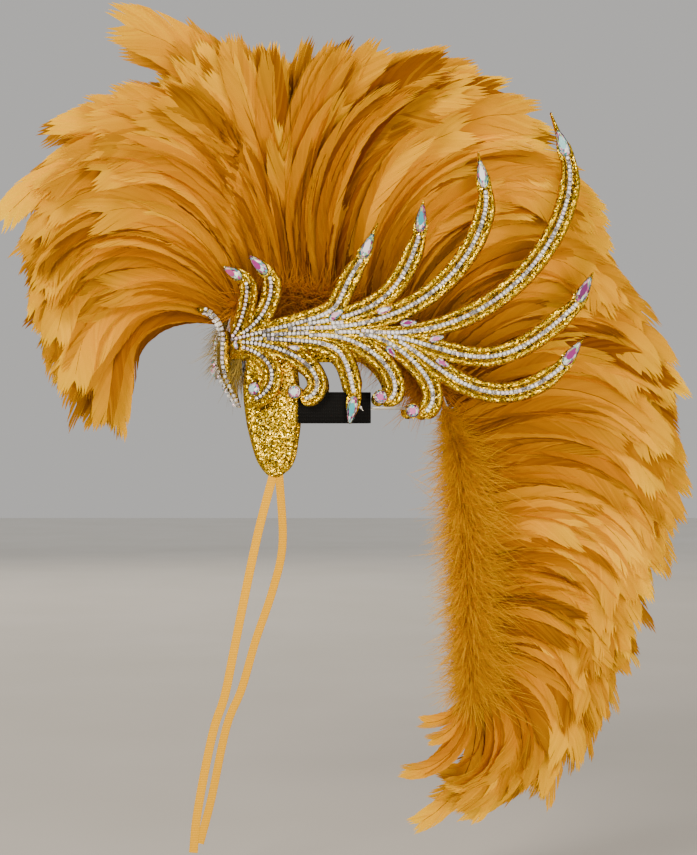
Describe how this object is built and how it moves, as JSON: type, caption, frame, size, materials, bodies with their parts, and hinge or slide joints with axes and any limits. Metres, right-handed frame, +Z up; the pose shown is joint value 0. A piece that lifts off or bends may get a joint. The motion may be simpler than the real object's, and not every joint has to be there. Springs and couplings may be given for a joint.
{
  "type": "feather headdress",
  "caption": "Carnival headdress: gold glitter foam scroll wings with crystals and cup chain, padded cheek flaps and brow motif, and a crest and tail of orange cock feathers.",
  "frame": {"origin": "middle of the head opening, level with the tops of the ears, where the head holds it up", "axes": "+Z up; the wearer faces -Y; the wearer's left is +X"},
  "size_m": [0.2532, 0.8187, 1.0325],
  "materials": {
    "glitter": "gold glitter on foam",
    "chain": "silver cup chain with clear crystals",
    "stone": "faceted, iridescent coated, in a silver setting",
    "feather": "dyed cock feather, soft sheen",
    "tape": "dyed felt over wire",
    "webbing": "matt black webbing",
    "elastic": "clear, glossy",
    "satin": "yellow satin"
  },
  "bodies": {
    "root": {"pear_stone_1_left": "stone", "pear_stone_1_right": "stone", "pear_stone_2_left": "stone", "pear_stone_2_right": "stone", "pear_stone_3_left": "stone", "pear_stone_3_right": "stone", "pear_stone_4_left": "stone", "pear_stone_4_right": "stone", "pear_stone_5_left": "stone", "pear_stone_5_right": "stone", "pear_stone_6_left": "stone", "pear_stone_6_right": "stone", "pear_stone_7_left": "stone", "pear_stone_7_right": "stone", "pear_stone_8_left": "stone", "pear_stone_8_right": "stone", "pear_stone_9_left": "stone", "pear_stone_9_right": "stone", "round_stone_1_left": "stone", "round_stone_1_right": "stone", "round_stone_2_left": "stone", "round_stone_2_right": "stone", "round_stone_3_left": "stone", "round_stone_3_right": "stone", "round_stone_4_left": "stone", "round_stone_4_right": "stone", "wing_chains_left": "chain", "wing_chains_right": "chain", "front_band": "glitter", "wing_left": "glitter", "wing_right": "glitter", "cheek_flap_left": "glitter", "cheek_flap_right": "glitter", "back_tab_left": "webbing", "back_tab_right": "webbing", "crest_spine": "tape", "plume_front": "feather", "plume_top": "feather", "plume_back": "feather", "plume_tail": "feather", "marabou_boa": "feather", "front_ornament": "glitter", "front_chains": "chain", "front_stone_pear": "stone", "front_stone_top": "stone", "front_stone_point": "stone", "ribbon_left": "satin", "ribbon_right": "satin", "back_elastic": "elastic"}
  },
  "joints": []
}
